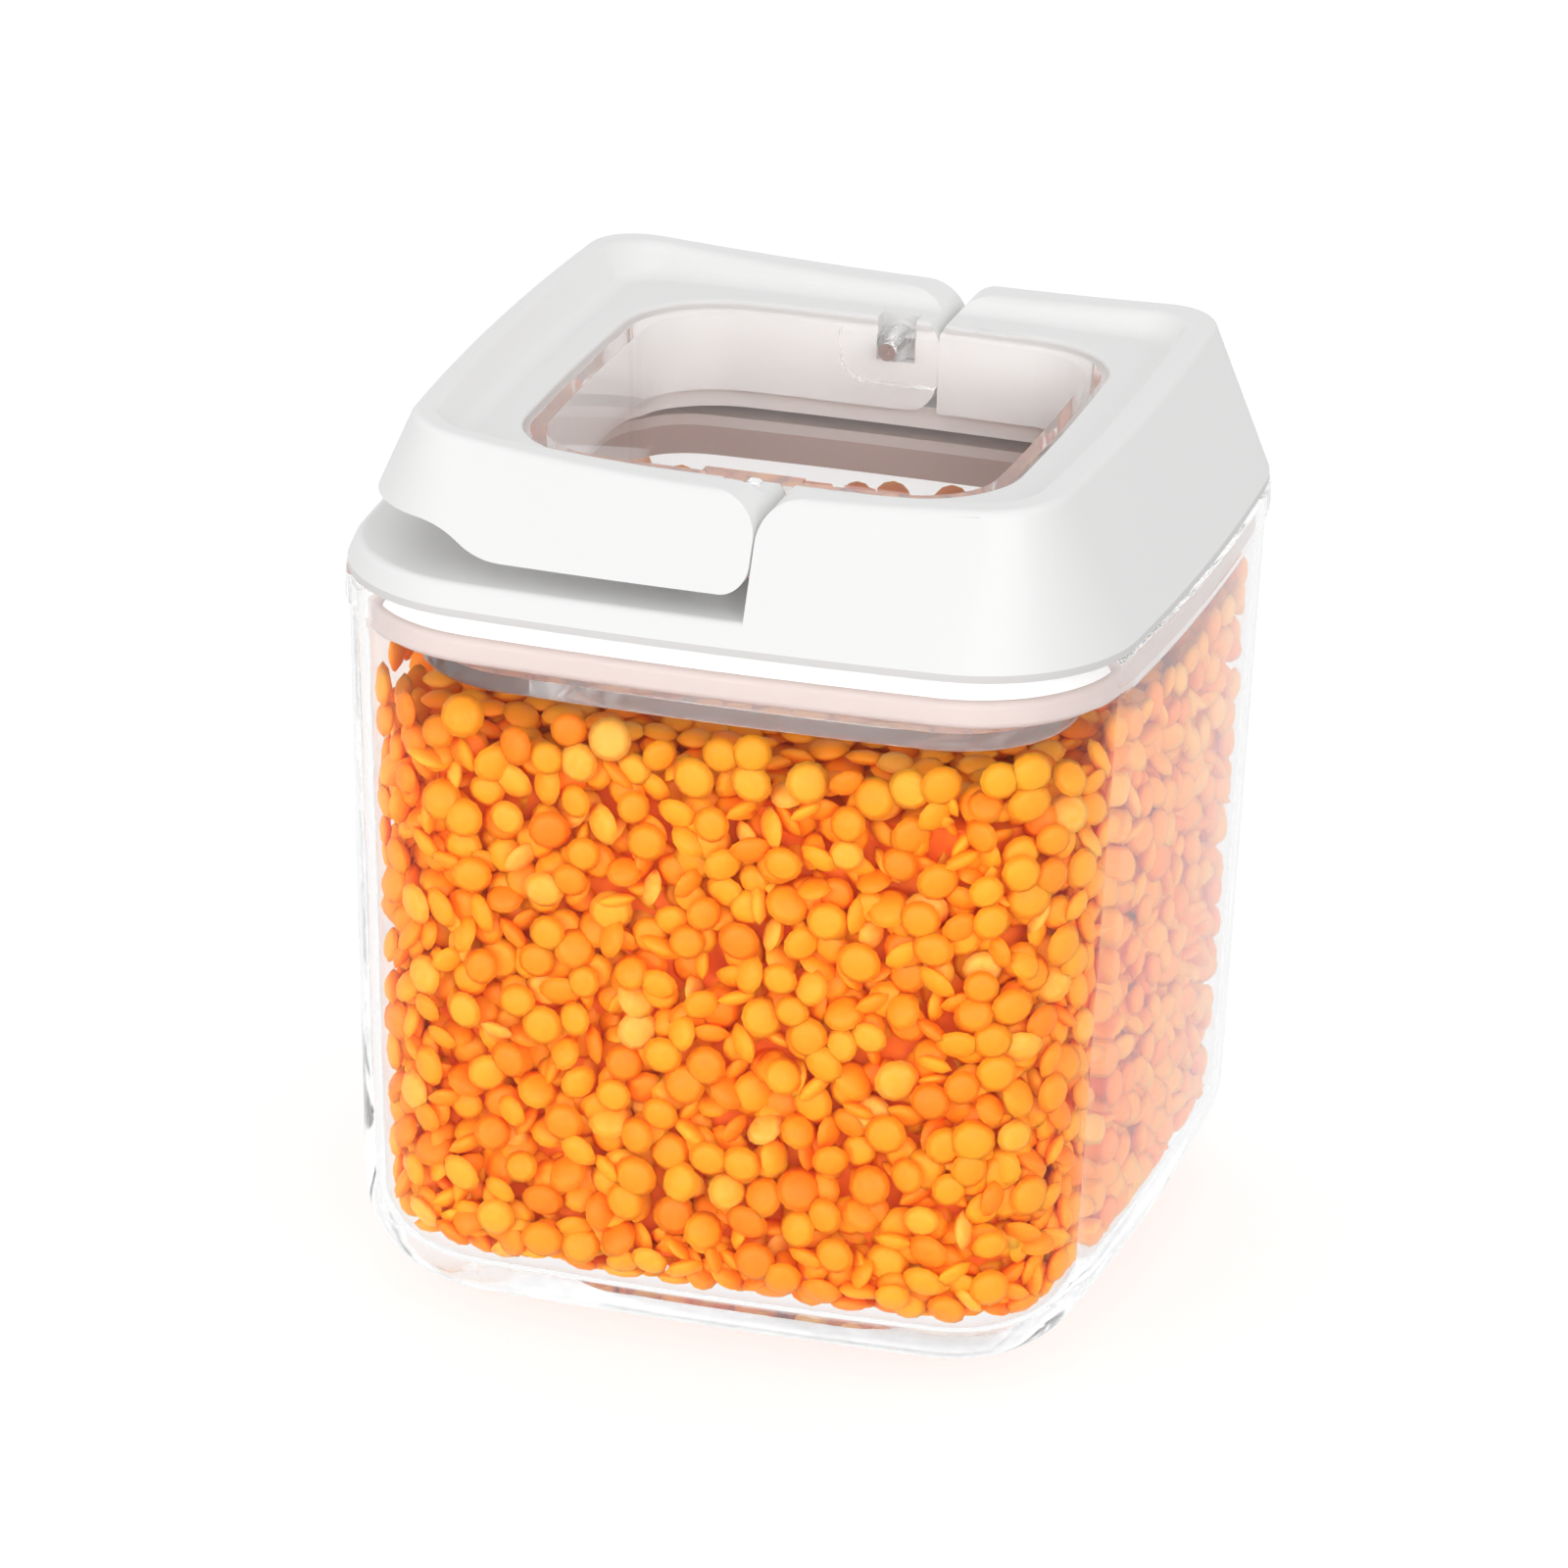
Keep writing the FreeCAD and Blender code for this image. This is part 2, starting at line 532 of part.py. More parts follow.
for place, backwards in ((f"-{CAM_START}", True), (CAM_START, False)):
    side = "rear" if backwards else "front"
    cam = new_sketch(lever, f"lever_{side}_cam_line", "XZ_Plane", place)
    outline(cam, [
        (cam_left, cam_top, None),
        (cam_left, CAM_Z, (cell("cam_round"), 1)),
        (CAM_X, cam_bottom, (cell("cam_round"), 1)),
        (cam_right, CAM_Z, None),
        (cam_right, cam_top, None),
    ])
    extrude(lever, "Pad", f"lever_{side}_cam", cam, cell("cam_width"), backwards=backwards)


def axle_circle(sketch, radius):
    """Circle about the pivot, in a sketch that looks along the pins."""
    place = FreeCAD.Vector(value(PIVOT_X), value(PIVOT_Z), 0)
    circle = sketch.addGeometry(Part.Circle(place, FreeCAD.Vector(0, 0, 1), value(radius)), False)
    bind(sketch, ("Radius", circle), radius)
    bind(sketch, ("DistanceX", -1, 1, circle, 3), PIVOT_X)
    bind(sketch, ("DistanceY", -1, 1, circle, 3), PIVOT_Z)


cam_bore = new_sketch(lever, "lever_bore_line", "XZ_Plane", "0")
axle_circle(cam_bore, "Sizes.pin_radius + Sizes.pin_running")
extrude(lever, "Pocket", "lever_bores", cam_bore, f"2 * {CAM_END} + Sizes.notch_gap", symmetric=True)

# Seal carrier: white ring under the cover, with a flange on the rim and a skirt into the container
carrier = new_body("seal_carrier")
for name, bottom, height, outer, outer_corner, inner, inner_corner in (
    ("flange", RIM, cell("carrier_flange"), LID_HALF, LID_CORNER,
     RING_OPENING_HALF, RING_OPENING_CORNER),
    ("skirt", SEAL_TOP, f"{RIM} - {SEAL_TOP}", SKIRT_HALF, SEAL_CORNER,
     f"{SKIRT_HALF} - Sizes.skirt_wall", f"{SEAL_CORNER} - Sizes.skirt_wall"),
    ("plate", SEAL_TOP, cell("carrier_plate"), SKIRT_HALF, SEAL_CORNER,
     RING_OPENING_HALF, RING_OPENING_CORNER),
):
    ring = new_sketch(carrier, f"carrier_{name}_line", "XY_Plane", bottom)
    soft_square(ring, outer, outer_corner)
    soft_square(ring, inner, inner_corner)
    extrude(carrier, "Pad", f"carrier_{name}", ring, height)

# Seal: one soft ring that the pan presses up against the carrier
seal = new_body("seal_gasket")
ring = new_sketch(seal, "seal_line", "XY_Plane", SEAL_BOTTOM)
soft_square(ring, SEAL_HALF, SEAL_CORNER)
soft_square(ring, RING_OPENING_HALF, RING_OPENING_CORNER)
extrude(seal, "Pad", "seal_ring", ring, cell("seal_height"))
round_edges(seal, "seal_edge_round", cell("seal_edge"),
            lambda edge: edge.BoundBox.ZLength < TOUCH and reach(edge) > value(RING_OPENING_HALF) + TOUCH)

# Tray: one clear moulding, a deep cup in the window with a pan below the seal and two hinge bosses
tray = new_body("inner_tray")
pan = square_section(tray, "pan_line", PAN_BOTTOM, PAN_HALF, PAN_CORNER)
extrude(tray, "Pad", "pan_floor", pan, cell("tray_floor"))
loft(tray, "Additive", "tray_outside", [
    square_section(tray, "tray_outside_foot", PAN_BOTTOM, TRAY_BASE_HALF, TRAY_CORNER),
    square_section(tray, "tray_outside_rim", TRAY_RIM, TRAY_HALF, TRAY_CORNER),
])
lip = new_sketch(tray, "pan_lip_line", "XY_Plane", TRAY_FLOOR)
soft_square(lip, PAN_HALF, PAN_CORNER)
soft_square(lip, f"{PAN_HALF} - Sizes.pan_lip", f"{PAN_CORNER} - Sizes.pan_lip")
extrude(tray, "Pad", "pan_rim", lip, f"{SEAL_BOTTOM} - {TRAY_FLOOR}")
under_pan = flat_at(PAN_BOTTOM)
round_edges(tray, "pan_edge_round", cell("pan_round"),
            lambda edge: under_pan(edge) and reach(edge) > value(TRAY_HALF))
for place, backwards in ((f"-{LUG_FACE}", True), (LUG_FACE, False)):
    side = "rear" if backwards else "front"
    boss = new_sketch(tray, f"tray_{side}_boss_line", "XZ_Plane", place)
    axle_circle(boss, cell("boss_radius"))
    extrude(tray, "Pad", f"tray_{side}_boss", boss, f"{BOSS_END} - {LUG_FACE}", backwards=backwards)
loft(tray, "Subtractive", "tray_inside", [
    square_section(tray, "tray_inside_floor", TRAY_FLOOR, f"{TRAY_BASE_HALF} - Sizes.tray_wall",
                   f"{TRAY_CORNER} - Sizes.tray_wall"),
    square_section(tray, "tray_inside_rim", TRAY_RIM, f"{TRAY_HALF} - Sizes.tray_wall",
                   f"{TRAY_CORNER} - Sizes.tray_wall"),
])
on_tray_floor = flat_at(TRAY_FLOOR)
in_tray_wall = f"({TRAY_BASE_HALF} - Sizes.tray_wall / 2)"
round_edges(tray, "tray_floor_round", cell("tray_round"),
            lambda edge: on_tray_floor(edge) and reach(edge) < value(in_tray_wall))
lug_left = f"({PIVOT_X} - Sizes.lug_half_width)"
lug_right = f"({PIVOT_X} + Sizes.lug_half_width)"
lug_bottom = f"({TRAY_RIM} - Sizes.lug_depth)"
for place, backwards in ((f"-{LUG_FACE}", True), (LUG_FACE, False)):
    side = "rear" if backwards else "front"
    lug = new_sketch(tray, f"tray_{side}_lug_line", "XZ_Plane", place)
    outline(lug, [
        (lug_left, TRAY_RIM, None),
        (lug_left, f"{lug_bottom} + Sizes.lug_round", (cell("lug_round"), 1)),
        (f"{lug_left} + Sizes.lug_round", lug_bottom, None),
        (lug_right, lug_bottom, None),
        (lug_right, TRAY_RIM, None),
    ])
    extrude(tray, "Pad", f"tray_{side}_lug", lug, "Sizes.lug_bulge + Sizes.tray_wall / 2",
            backwards=backwards)
pin_bore = new_sketch(tray, "tray_bore_line", "XZ_Plane", "0")
axle_circle(pin_bore, "Sizes.pin_radius + Sizes.pin_press")
extrude(tray, "Pocket", "tray_bores", pin_bore, f"2 * {BOSS_END} + Sizes.notch_gap", symmetric=True)

# Hinge pins: plain steel pins pressed into the tray's bosses, on which the lever's cams turn
pins = []
for label, turn in (("hinge_pin_front", 1), ("hinge_pin_rear", -1)):
    pin = doc.addObject("Part::Cylinder", label)
    pin.Label = label
    pin.setExpression("Radius", cell("pin_radius"))
    pin.setExpression("Height", f"{CAM_END} - {LUG_FACE}")
    pin.Placement.Rotation = FreeCAD.Rotation(FreeCAD.Vector(1, 0, 0), 90 * turn)
    pin.setExpression("Placement.Base.x", PIVOT_X)
    pin.setExpression("Placement.Base.y", f"{-turn} * {LUG_FACE}")
    pin.setExpression("Placement.Base.z", PIVOT_Z)
    pins.append(pin)
doc.recompute()

PIECES = [container, cover, lever, carrier, seal, tray, *pins]
for item in doc.Objects:
    if "Invalid" in item.State or "Error" in item.State:
        raise RuntimeError(f"{item.Label} failed: {item.State}")
for piece in PIECES:
    if piece.Shape.isNull() or not piece.Shape.isValid():
        raise RuntimeError(f"{piece.Label} has no valid solid")

os.makedirs("parts", exist_ok=True)
for piece in PIECES:
    piece.Shape.exportStep(f"parts/{piece.Label}.step")
    print(piece.Label, len(piece.Shape.Solids), round(piece.Shape.Volume), piece.Shape.BoundBox)
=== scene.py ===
import math

import bmesh
import bpy
from mathutils import Matrix, Quaternion, Vector


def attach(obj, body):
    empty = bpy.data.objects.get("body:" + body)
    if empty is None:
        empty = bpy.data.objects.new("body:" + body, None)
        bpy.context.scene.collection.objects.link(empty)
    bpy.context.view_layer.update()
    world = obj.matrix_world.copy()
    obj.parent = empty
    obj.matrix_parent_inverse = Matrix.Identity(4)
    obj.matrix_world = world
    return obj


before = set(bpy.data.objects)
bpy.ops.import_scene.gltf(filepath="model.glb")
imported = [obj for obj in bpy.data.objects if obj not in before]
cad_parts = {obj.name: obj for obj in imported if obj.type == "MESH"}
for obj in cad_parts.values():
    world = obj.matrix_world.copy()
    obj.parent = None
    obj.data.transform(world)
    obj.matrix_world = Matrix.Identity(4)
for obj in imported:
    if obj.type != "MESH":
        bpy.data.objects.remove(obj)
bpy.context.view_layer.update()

# Container: one clear injection moulding, polished outside, with a thick floor and rounded corners.
# It stands loose on its base, and everything else sits in it or on its rim.


class Signal:
    """A socket that takes part in Python sums: each operator adds one Math node behind it."""

    def __init__(self, tree, socket):
        self.tree = tree
        self.socket = socket

    def __getitem__(self, name):
        """Another output of the same node."""
        outputs = [socket for socket in self.socket.node.outputs if socket.enabled]
        return Signal(self.tree, next(socket for socket in outputs if socket.name == name))

    def sum_of(self, operation, first, second):
        return self.tree.node("ShaderNodeMath", {"operation": operation}, {0: first, 1: second})

    def __add__(self, other):
        return self.sum_of("ADD", self, other)

    __radd__ = __add__

    def __sub__(self, other):
        return self.sum_of("SUBTRACT", self, other)

    def __rsub__(self, other):
        return self.sum_of("SUBTRACT", other, self)

    def __mul__(self, other):
        return self.sum_of("MULTIPLY", self, other)

    __rmul__ = __mul__

    def __pow__(self, other):
        return self.sum_of("POWER", self, other)


class Tree:
    """A shader or geometry node tree under construction."""

    def __init__(self, tree):
        self.tree = tree

    def node(self, kind, settings=None, sockets=None):
        """Add a node: its settings, then the values or links of its sockets. Gives its first output."""
        made = self.tree.nodes.new(kind)
        for name, setting in (settings or {}).items():
            if name == "stops":
                ramp = made.color_ramp.elements
                while len(ramp) < len(setting):
                    ramp.new(1.0)
                for stop, (place, colour) in zip(ramp, setting):
                    stop.position = place
                    stop.color = (*colour, 1.0)
            else:
                setattr(made, name, setting)
        for name, given in (sockets or {}).items():
            inputs = [socket for socket in made.inputs if socket.enabled]
            if isinstance(name, int):
                socket = inputs[name]
            else:
                socket = next(each for each in inputs if each.name == name)
            if isinstance(given, Signal):
                self.tree.links.new(given.socket, socket)
            else:
                socket.default_value = given
        first = next((socket for socket in made.outputs if socket.enabled), None)
        return Signal(self, first) if first else None


def new_material(name):
    material = bpy.data.materials.new(name)
    material.use_nodes = True
    material.node_tree.nodes.clear()
    return material, Tree(material.node_tree)


def show(tree, surface):
    tree.node("ShaderNodeOutputMaterial", None, {"Surface": surface})


def noise(tree, grain, detail=2.0):
    """Even noise about one half, with grains of that size in metres."""
    spot = tree.node("ShaderNodeTexCoord")["Object"]
    return tree.node("ShaderNodeTexNoise", None, {
        "Vector": spot, "Scale": 1 / grain, "Detail": detail})["Fac"]


def clear_plastic(name, tint, edge, bend, gloss_bend, haze, flow, flow_depth):
    """Polished clear plastic that lets lamps through, glossier at a slant, with the melt's faint waves and
    painted shade towards the edge colour where it is seen edge-on.
    """
    material, tree = new_material(name)
    waves = tree.node("ShaderNodeBump", None, {
        "Strength": 1.0, "Distance": flow_depth, "Height": noise(tree, flow)})
    rough = 0.02 + 0.05 * noise(tree, flow / 3)
    # Painted shade: the colour turns towards the edge colour where the surface is seen edge-on, drawing a
    # grey outline along the silhouettes.
    edge_on_shade_mask = tree.node("ShaderNodeLayerWeight", None, {"Blend": 0.5})["Facing"]
    shade = tree.node("ShaderNodeMix", {"data_type": "RGBA"}, {
        "Factor": edge_on_shade_mask ** 10.0, "A": (*tint, 1.0), "B": (*edge, 1.0)})["Result"]
    slant = tree.node("ShaderNodeLayerWeight", None, {"Blend": 0.75})["Facing"]
    body = tree.node("ShaderNodeBsdfPrincipled", None, {
        "Base Color": shade, "Roughness": rough, "IOR": bend, "Transmission Weight": 1.0 - haze,
        "Normal": waves, "Coat Weight": 0.1 + 0.9 * slant, "Coat IOR": gloss_bend, "Coat Roughness": 0.03})
    passing = tree.node("ShaderNodeBsdfTransparent", None, {"Color": (0.96, 0.96, 0.96, 1.0)})
    lamp = tree.node("ShaderNodeLightPath")["Is Shadow Ray"]
    show(tree, tree.node("ShaderNodeMixShader", None, {0: lamp, 1: body, 2: passing}))
    return material


def dress(node, material):
    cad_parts[node].data.materials.clear()
    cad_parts[node].data.materials.append(material)


# The container's edge colour is painted shade: a dark grey outline where its walls are seen edge-on.
dress("container_body", clear_plastic(
    "container clear plastic", tint=(0.985, 0.988, 0.99), edge=(0.2, 0.2, 0.22),
    bend=1.065, gloss_bend=1.27, haze=0.0, flow=0.03, flow_depth=0.00002))

# Contents: split red lentils poured in loose, so they lie flat against the wall or lean on each other.
# They are scattered in three depths over the cavity's skin, round a plain core that closes the gaps.
CAVITY_FLOOR = 0.005
CAVITY_RIM = 0.0972
CAVITY_FLOOR_HALF = 0.0464
CAVITY_RIM_HALF = 0.0498
CAVITY_FLOOR_CORNER = 0.0155
CAVITY_RIM_CORNER = 0.0188
CAVITY_FLOOR_ROUND = 0.009
SIDE_BOW = 0.520
WALL_CLEARANCE = 0.0003
HEAP_EDGE = 0.0834
HEAP_MIDDLE = 0.082
HEAP_SHOULDER = 0.0065
SHOULDER_FACING = 0.6
LENTIL_RADIUS = 0.0027
LENTIL_THICKNESS = 0.43
LENTIL_SIDES = 12
LENTIL_LEVEL = 0.62
LENTIL_CROWD = 260000.0
FIRST_SEED = 40
CORE_INSET = 0.0057
CORE_DROP = 0.009


def soft_square(half, corner, height, steps=8):
    """Points round a square with bowed sides and round corners, at a height."""
    reach = SIDE_BOW - half
    span = SIDE_BOW - corner
    middle = (math.sqrt(2 * span**2 - reach**2) - reach) / 2
    swing = math.atan2(middle, middle + reach)
    points = []
    for quarter in range(4):
        turn = Matrix.Rotation(quarter * math.pi / 2, 3, "Z")
        for step in range(steps):
            angle = swing * (2 * step / steps - 1)
            points.append(turn @ Vector((
                SIDE_BOW * math.cos(angle) - reach, SIDE_BOW * math.sin(angle), height)))
        for step in range(steps):
            angle = swing + (math.pi / 2 - 2 * swing) * step / steps
            points.append(turn @ Vector((
                middle + corner * math.cos(angle), middle + corner * math.sin(angle), height)))
    return points


def cavity_ring(height, inset):
    """Ring that runs inside the container's wall at a height, an inset away from it."""
    up = (height - CAVITY_FLOOR) / (CAVITY_RIM - CAVITY_FLOOR)
    half = CAVITY_FLOOR_HALF + (CAVITY_RIM_HALF - CAVITY_FLOOR_HALF) * up - inset
    corner = CAVITY_FLOOR_CORNER + (CAVITY_RIM_CORNER - CAVITY_FLOOR_CORNER) * up - inset
    return soft_square(half, corner, height)


def closed_skin(name, rings):
    """Closed mesh through rings given from the bottom up, capped at both ends."""
    shape = bmesh.new()
    rows = [[shape.verts.new(point) for point in ring] for ring in rings]
    for lower, upper in zip(rows, rows[1:]):
        for index in range(len(lower)):
            after = (index + 1) % len(lower)
            shape.faces.new((lower[index], lower[after], upper[after], upper[index]))
    shape.faces.new(list(reversed(rows[0])))
    shape.faces.new(rows[-1])
    mesh = bpy.data.meshes.new(name)
    shape.to_mesh(mesh)
    shape.free()
    return mesh


def heap_skin(name, inset, edge):
    """Skin of the heap: up the rounded floor and the wall to an edge, then in over a shoulder."""
    floor = CAVITY_FLOOR + inset
    bend = CAVITY_FLOOR_ROUND - inset
    rings = []
    for step in range(7):
        angle = math.pi / 2 * step / 6
        rings.append(cavity_ring(
            floor + bend * (1 - math.cos(angle)), inset + bend * (1 - math.sin(angle))))
    for height in (0.03, 0.05, 0.07, edge):
        rings.append(cavity_ring(height, inset))
    rings.append(cavity_ring(HEAP_MIDDLE - inset, inset + HEAP_SHOULDER))
    return closed_skin(name, rings)


def lentil_shape():
    """One lentil of few faces: a lens with a blunt edge."""
    shape = bmesh.new()
    poles = [shape.verts.new((0, 0, end * LENTIL_RADIUS * LENTIL_THICKNESS)) for end in (1, -1)]
    rows = []
    for level in (LENTIL_LEVEL, 0.0, -LENTIL_LEVEL):
        out = LENTIL_RADIUS * (1 - abs(level) ** 2.2)
        lift = LENTIL_RADIUS * LENTIL_THICKNESS * math.copysign(abs(level) ** 0.75, level)
        angles = [math.tau * side / LENTIL_SIDES for side in range(LENTIL_SIDES)]
        rows.append([
            shape.verts.new((out * math.cos(angle), out * math.sin(angle), lift)) for angle in angles])
    for side in range(LENTIL_SIDES):
        after = (side + 1) % LENTIL_SIDES
        shape.faces.new((poles[0], rows[0][side], rows[0][after]))
        shape.faces.new((poles[1], rows[2][after], rows[2][side]))
        for upper, lower in zip(rows, rows[1:]):
            shape.faces.new((upper[side], lower[side], lower[after], upper[after]))
    for face in shape.faces:
        face.smooth = True
    mesh = bpy.data.meshes.new("lentil")
    shape.to_mesh(mesh)
    shape.free()
    return mesh


def lentil_material():
    """Waxy orange that differs from one lentil to the next, with a paler bloom on some."""
    material, tree = new_material("split red lentils")
    tone = tree.node("ShaderNodeAttribute", {"attribute_name": "tone"})["Fac"]
    mottle = noise(tree, 0.0009, 3.0)
    colour = tree.node("ShaderNodeValToRGB", {"stops": [
        (0.0, (0.97, 0.2, 0.002)), (0.3, (1.0, 0.27, 0.004)), (0.8, (1.0, 0.33, 0.008)),
        (0.93, (1.0, 0.36, 0.02)), (1.0, (1.0, 0.41, 0.06))]}, {
            "Fac": tone + 0.2 * mottle - 0.1})["Color"]
    grain = tree.node("ShaderNodeBump", None, {
        "Strength": 0.5, "Distance": 0.0001, "Height": noise(tree, 0.0005, 3.0)})
    body = tree.node("ShaderNodeBsdfPrincipled", None, {
        "Base Color": colour, "Roughness": 0.42 + 0.16 * mottle, "Normal": grain,
        "Specular IOR Level": 0.25, "Subsurface Weight": 0.5,
        "Subsurface Radius": (0.003, 0.0012, 0.0003), "Subsurface Scale": 1.0})
    show(tree, body)
    return material


def lentil_tree():
    """Scatter over a skin: each lentil leans by chance and sinks until it just touches the skin."""
    group = bpy.data.node_groups.new("lentil layer", "GeometryNodeTree")
    wanted = (("Skin", "Geometry"), ("Lentil", "Object"), ("Spacing", "Float"), ("Depth", "Float"),
              ("Lean", "Float"), ("Seed", "Int"), ("Finish", "Material"))
    for name, kind in wanted:
        group.interface.new_socket(name, in_out="INPUT", socket_type=f"NodeSocket{kind}")
    group.interface.new_socket("Lentils", in_out="OUTPUT", socket_type="NodeSocketGeometry")
    tree = Tree(group)
    inputs = tree.node("NodeGroupInput")
    given = {name: inputs[name] for name, kind in wanted}

    def chance(low, high, salt):
        return tree.node("FunctionNodeRandomValue", {"data_type": "FLOAT"}, {
            "Min": low, "Max": high, "Seed": given["Seed"] + salt})["Value"]

    def upward(vector):
        return tree.node("ShaderNodeSeparateXYZ", None, {"Vector": vector})["Z"]

    facing = upward(tree.node("GeometryNodeInputNormal"))
    off_shoulder = tree.node("FunctionNodeCompare", {"data_type": "FLOAT", "operation": "GREATER_THAN"}, {
        "A": tree.node("ShaderNodeMath", {"operation": "ABSOLUTE"}, {0: facing - SHOULDER_FACING}),
        "B": 1 - SHOULDER_FACING - 0.01})
    scatter = tree.node("GeometryNodeDistributePointsOnFaces", {"distribute_method": "POISSON"}, {
        "Mesh": given["Skin"], "Selection": off_shoulder, "Distance Min": given["Spacing"],
        "Density Max": LENTIL_CROWD, "Seed": given["Seed"]})
    points, normal, upright = scatter["Points"], scatter["Normal"], scatter["Rotation"]
    size = chance(0.84, 1.1, 11)
    height = upward(tree.node("GeometryNodeInputPosition"))
    room = tree.node("ShaderNodeMapRange", None, {
        "Value": height, "From Min": HEAP_EDGE - 2 * LENTIL_RADIUS, "From Max": HEAP_EDGE,
        "To Min": 1.0, "To Max": 0.2})
    points = tree.node("GeometryNodeStoreNamedAttribute", {"data_type": "FLOAT", "domain": "POINT"}, {
        "Geometry": points, "Name": "lean", "Value": given["Lean"] * room * chance(0.0, 1.0, 12) ** 1.5})
    lean = tree.node("GeometryNodeInputNamedAttribute", {"data_type": "FLOAT"}, {"Name": "lean"})
    half_thickness = LENTIL_RADIUS * LENTIL_THICKNESS
    across = tree.node("ShaderNodeMath", {"operation": "SINE"}, {0: lean}) * LENTIL_RADIUS
    through = tree.node("ShaderNodeMath", {"operation": "COSINE"}, {0: lean}) * half_thickness
    sink = size * (across * across + through * through) ** 0.5 + given["Depth"] * chance(0.75, 1.25, 13)
    offset = tree.node("ShaderNodeVectorMath", {"operation": "SCALE"}, {
        "Vector": normal, "Scale": -1 * sink})
    points = tree.node("GeometryNodeSetPosition", None, {"Geometry": points, "Offset": offset})
    turn = tree.node("ShaderNodeCombineXYZ", None, {"Z": chance(0.0, math.tau, 14)})
    turned = tree.node("FunctionNodeRotateRotation", {"rotation_space": "LOCAL"}, {
        "Rotation": upright, "Rotate By": tree.node("FunctionNodeEulerToRotation", None, {"Euler": turn})})
    tip = tree.node("ShaderNodeCombineXYZ", None, {"X": lean})
    leaning = tree.node("FunctionNodeRotateRotation", {"rotation_space": "LOCAL"}, {
        "Rotation": turned, "Rotate By": tree.node("FunctionNodeEulerToRotation", None, {"Euler": tip})})
    stretch = tree.node("ShaderNodeCombineXYZ", None, {
        "X": size, "Y": size * chance(0.9, 1.0, 15), "Z": size * chance(0.8, 1.0, 16)})
    lentil = tree.node("GeometryNodeObjectInfo", None, {"Object": given["Lentil"]})["Geometry"]
    heap = tree.node("GeometryNodeInstanceOnPoints", None, {
        "Points": points, "Instance": lentil, "Rotation": leaning, "Scale": stretch})
    heap = tree.node("GeometryNodeStoreNamedAttribute", {"data_type": "FLOAT", "domain": "INSTANCE"}, {
        "Geometry": heap, "Name": "tone", "Value": chance(0.0, 1.0, 17)})
    heap = tree.node("GeometryNodeRealizeInstances", None, {"Geometry": heap})
    heap = tree.node("GeometryNodeSetMaterial", None, {"Geometry": heap, "Material": given["Finish"]})
    tree.node("NodeGroupOutput", None, {"Lentils": heap})
    return group


def place(name, mesh):
    piece = bpy.data.objects.new(name, mesh)
    bpy.context.scene.collection.objects.link(piece)
    return piece


def grown(name, skin, group, inputs):
    """Run a geometry tree on a skin and keep the result as a plain mesh."""
    carrier = place(f"{name}.skin", skin)
    modifier = carrier.modifiers.new("grow", "NODES")
    modifier.node_group = group
    for socket in group.interface.items_tree:
        if socket.in_out == "INPUT" and socket.name in inputs:
            modifier[socket.identifier] = inputs[socket.name]
    bpy.context.view_layer.update()
    mesh = bpy.data.meshes.new_from_object(carrier.evaluated_get(bpy.context.evaluated_depsgraph_get()))
    mesh.name = name
    bpy.data.objects.remove(carrier)
    return place(name, mesh)


one_lentil = place("one_lentil", lentil_shape())
lentil_finish = lentil_material()
lentil_layer = lentil_tree()
# Each layer: depth below the skin, drop of its edge, greatest lean in radians, least spacing.
LAYERS = ((0.0, 0.0, 1.35, 0.0038), (0.0017, 0.0045, 1.5, 0.0033), (0.0038, 0.0065, 1.5, 0.0033))
for layer, (depth, drop, lean, spacing) in enumerate(LAYERS):
    skin = heap_skin("heap skin", WALL_CLEARANCE, HEAP_EDGE - drop)
    lentils = grown(f"lentils_{layer + 1}", skin, lentil_layer, {
        "Lentil": one_lentil, "Spacing": spacing, "Depth": depth, "Lean": lean,
        "Seed": FIRST_SEED + layer, "Finish": lentil_finish})
    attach(lentils, "container")
bpy.data.objects.remove(one_lentil)

# The core stands in for the lentils deep in the heap: its darker orange is painted shade, with a random
# change of tone.
core_material, core_tree = new_material("lentil core in painted shade")
core_painted_shade_colour = core_tree.node("ShaderNodeValToRGB", {"stops": [
    (0.3, (0.7, 0.1, 0.003)), (0.7, (0.95, 0.22, 0.006))]}, {"Fac": noise(core_tree, 0.003, 3.0)})["Color"]
show(core_tree, core_tree.node("ShaderNodeBsdfPrincipled", None, {
    "Base Color": core_painted_shade_colour, "Roughness": 0.8}))
core = place("lentil_core", heap_skin("lentil core", CORE_INSET, HEAP_EDGE - CORE_DROP))
core.data.materials.append(core_material)
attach(core, "container")

# Seal carrier: a white moulded ring whose skirt goes down into the container and whose thin flange lies
# between the lid and the rim.


def satin_plastic(name, colour, rough):
    """Moulded plastic with a fine spark-eroded grain and a slight change of shade from the flow."""
    material, tree = new_material(name)
    flow = noise(tree, 0.02)
    shade = tree.node("ShaderNodeMix", {"data_type": "RGBA"}, {
        "Factor": flow, "A": (*[part * 0.985 for part in colour], 1.0), "B": (*colour, 1.0)})["Result"]
    grain = tree.node("ShaderNodeBump", None, {
        "Strength": 0.25, "Distance": 0.00002, "Height": noise(tree, 0.00025, 3.0)})
    show(tree, tree.node("ShaderNodeBsdfPrincipled", None, {
        "Base Color": shade, "Roughness": rough + 0.08 * flow, "Normal": grain, "Coat Weight": 0.1}))
    return material


dress("seal_carrier", satin_plastic("carrier white plastic", (0.8, 0.785, 0.775), 0.4))

# Seal: one soft moulded ring of pale silicone below the carrier. The tray's pan presses it up from below.
dress("seal_gasket", satin_plastic("seal silicone", (0.57, 0.47, 0.445), 0.55))

